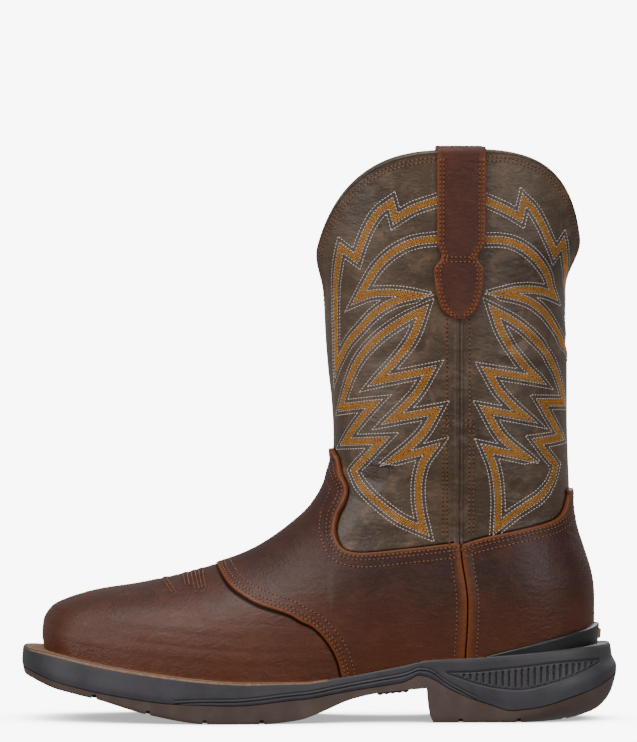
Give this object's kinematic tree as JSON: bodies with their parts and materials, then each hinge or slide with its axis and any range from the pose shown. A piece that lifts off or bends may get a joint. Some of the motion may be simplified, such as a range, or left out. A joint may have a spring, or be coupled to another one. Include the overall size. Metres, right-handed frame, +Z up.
{
  "type": "western work boot",
  "caption": "Left western work boot: pull-on leather shaft with a deep scallop, saddle vamp, broad square toe, welt, swept midsole and lugged outsole.",
  "frame": {"origin": "on the floor, on the heel's flat ground face, under the middle of the heel", "axes": "+Z up, -X towards the toe, -Y towards the lateral side of the left foot"},
  "size_m": [0.3153, 0.1146, 0.3034],
  "materials": {
    "shaft_leather": "brown grey waxed leather, semi-gloss",
    "foot_leather": "red brown oiled leather",
    "strap_leather": "red brown leather",
    "welt_leather": "tan welt with a raw edge",
    "footbed": "dark textile over foam",
    "midsole_rubber": "dark grey moulded rubber, matt",
    "outsole_rubber": "brown moulded rubber, matt",
    "stabiliser_rubber": "near black moulded rubber, satin",
    "tab_rubber": "tan moulded rubber"
  },
  "bodies": {
    "root": {"outsole": "outsole_rubber", "shank_pad": "midsole_rubber", "midsole": "midsole_rubber", "welt": "welt_leather", "insole": "footbed", "upper": "shaft_leather", "toe_vamp": "foot_leather", "saddle": "foot_leather", "counter": "foot_leather", "side_seam_lateral": "foot_leather", "side_seam_medial": "foot_leather", "pull_strap_lateral": "strap_leather", "pull_strap_medial": "strap_leather", "heel_stabiliser": "stabiliser_rubber", "heel_tab": "tab_rubber"}
  },
  "joints": []
}
